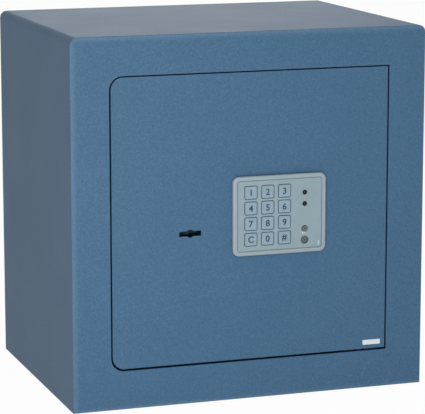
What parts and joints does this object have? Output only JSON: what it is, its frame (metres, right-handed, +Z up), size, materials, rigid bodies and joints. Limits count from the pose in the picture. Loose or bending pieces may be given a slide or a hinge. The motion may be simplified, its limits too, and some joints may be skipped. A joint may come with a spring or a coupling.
{
  "type": "in room safe",
  "caption": "Free-standing steel safe with a flush hinged door, a raised number keypad, a double-bit emergency keyhole and sliding locking bolts driven by a motor.",
  "frame": {"origin": "middle of the underside of the body", "axes": "+Z up, +Y from the door towards the back, +X to the right seen from the front"},
  "size_m": [0.4, 0.3082, 0.4],
  "materials": {
    "paint": "fine textured powder coat",
    "steel": "zinc plated",
    "brass": "turned",
    "felt": "needle felt",
    "keypad_shell": "moulded, fine grain",
    "keypad_panel": "printed film on plastic",
    "key": "moulded, satin",
    "cover": "fine textured powder coat",
    "black_plastic": "moulded",
    "light": "smoked lens",
    "board": "solder mask",
    "rubber": "moulded",
    "cell": "plain sleeve",
    "ribbon": "flat cable",
    "reset": "moulded"
  },
  "bodies": {
    "body": {"body_wrap": "paint", "base_plate": "paint", "back_plate": "paint", "front_frame": "paint", "bolt_keeper": "paint", "upper_hinge_bracket": "paint", "lower_hinge_bracket": "paint", "thrust_washer": "brass", "floor_mat": "felt"},
    "door": {"door_plate": "paint", "hinge_lugs": "paint", "hinge_pins": "steel", "dead_bar": "paint", "bolt_guide": "steel", "inner_cover": "cover", "cover_posts": "steel", "cover_screws": "steel", "key_lock_case": "steel", "lock_case_screws": "steel", "motor_gearbox": "black_plastic", "lock_motor": "steel", "motor_strap": "steel", "control_board": "board", "board_parts": "black_plastic", "board_spacers": "steel", "keypad_ribbon": "ribbon", "battery_tray": "black_plastic", "battery_cells": "cell", "battery_contacts": "steel", "reset_switch": "black_plastic", "keypad_housing": "keypad_shell", "keypad_panel": "keypad_panel", "keypad_gasket": "rubber", "keypad_board": "board", "key_mat": "rubber", "keypad_screws": "steel", "status_lights": "light", "contact_stud": "steel", "contact_socket": "steel"},
    "bolts": {"bolt_bar": "steel", "drive_rack": "steel", "upper_bolt": "steel", "lower_bolt": "steel", "bolt_screws": "steel"},
    "motor_pinion": {"motor_pinion": "brass"},
    "key_barrel": {"key_barrel": "steel"},
    "reset_button": {"reset_button": "reset"},
    "battery_cover": {"battery_cover": "cover"},
    "key_1": {"key_1": "key"},
    "key_2": {"key_2": "key"},
    "key_3": {"key_3": "key"},
    "key_4": {"key_4": "key"},
    "key_5": {"key_5": "key"},
    "key_6": {"key_6": "key"},
    "key_7": {"key_7": "key"},
    "key_8": {"key_8": "key"},
    "key_9": {"key_9": "key"},
    "key_clear": {"key_clear": "key"},
    "key_0": {"key_0": "key"},
    "key_hash": {"key_hash": "key"}
  },
  "joints": [
    {"name": "door_hinge", "type": "hinge", "parent": "body", "child": "door", "pos_m": [0.12926, -0.1415, 0.2], "axis": [0, 0, 1], "range_deg": [0, 110]},
    {"name": "bolt_slide", "type": "slide", "parent": "door", "child": "bolts", "axis": [-1, 0, 0], "range_m": [0, 0.01884]},
    {"name": "motor_turn", "type": "hinge", "parent": "door", "child": "motor_pinion", "pos_m": [-0.01923, -0.124, 0.1845], "axis": [0, -1, 0], "range_deg": [0, 135]},
    {"name": "key_turn", "type": "hinge", "parent": "door", "child": "key_barrel", "pos_m": [-0.0695, -0.124, 0.1865], "axis": [0, -1, 0], "range_deg": [0, 180]},
    {"name": "battery_cover_slide", "type": "slide", "parent": "door", "child": "battery_cover", "axis": [-1, 0, 0], "range_m": [0, 0.064]},
    {"name": "reset_press", "type": "slide", "parent": "door", "child": "reset_button", "axis": [0, -1, 0], "range_m": [0, 0.002], "stiffness_N_per_m": 400},
    {"name": "key_1_press", "type": "slide", "parent": "door", "child": "key_1", "axis": [0, 1, 0], "range_m": [0, 0.001], "stiffness_N_per_m": 500},
    {"name": "key_2_press", "type": "slide", "parent": "door", "child": "key_2", "axis": [0, 1, 0], "range_m": [0, 0.001], "stiffness_N_per_m": 500},
    {"name": "key_3_press", "type": "slide", "parent": "door", "child": "key_3", "axis": [0, 1, 0], "range_m": [0, 0.001], "stiffness_N_per_m": 500},
    {"name": "key_4_press", "type": "slide", "parent": "door", "child": "key_4", "axis": [0, 1, 0], "range_m": [0, 0.001], "stiffness_N_per_m": 500},
    {"name": "key_5_press", "type": "slide", "parent": "door", "child": "key_5", "axis": [0, 1, 0], "range_m": [0, 0.001], "stiffness_N_per_m": 500},
    {"name": "key_6_press", "type": "slide", "parent": "door", "child": "key_6", "axis": [0, 1, 0], "range_m": [0, 0.001], "stiffness_N_per_m": 500},
    {"name": "key_7_press", "type": "slide", "parent": "door", "child": "key_7", "axis": [0, 1, 0], "range_m": [0, 0.001], "stiffness_N_per_m": 500},
    {"name": "key_8_press", "type": "slide", "parent": "door", "child": "key_8", "axis": [0, 1, 0], "range_m": [0, 0.001], "stiffness_N_per_m": 500},
    {"name": "key_9_press", "type": "slide", "parent": "door", "child": "key_9", "axis": [0, 1, 0], "range_m": [0, 0.001], "stiffness_N_per_m": 500},
    {"name": "key_clear_press", "type": "slide", "parent": "door", "child": "key_clear", "axis": [0, 1, 0], "range_m": [0, 0.001], "stiffness_N_per_m": 500},
    {"name": "key_0_press", "type": "slide", "parent": "door", "child": "key_0", "axis": [0, 1, 0], "range_m": [0, 0.001], "stiffness_N_per_m": 500},
    {"name": "key_hash_press", "type": "slide", "parent": "door", "child": "key_hash", "axis": [0, 1, 0], "range_m": [0, 0.001], "stiffness_N_per_m": 500}
  ],
  "couplings": [
    {"joint": "motor_turn", "follows": "bolt_slide", "rad_per_m": 125},
    {"joint": "key_turn", "follows": "bolt_slide", "rad_per_m": 166.67}
  ]
}
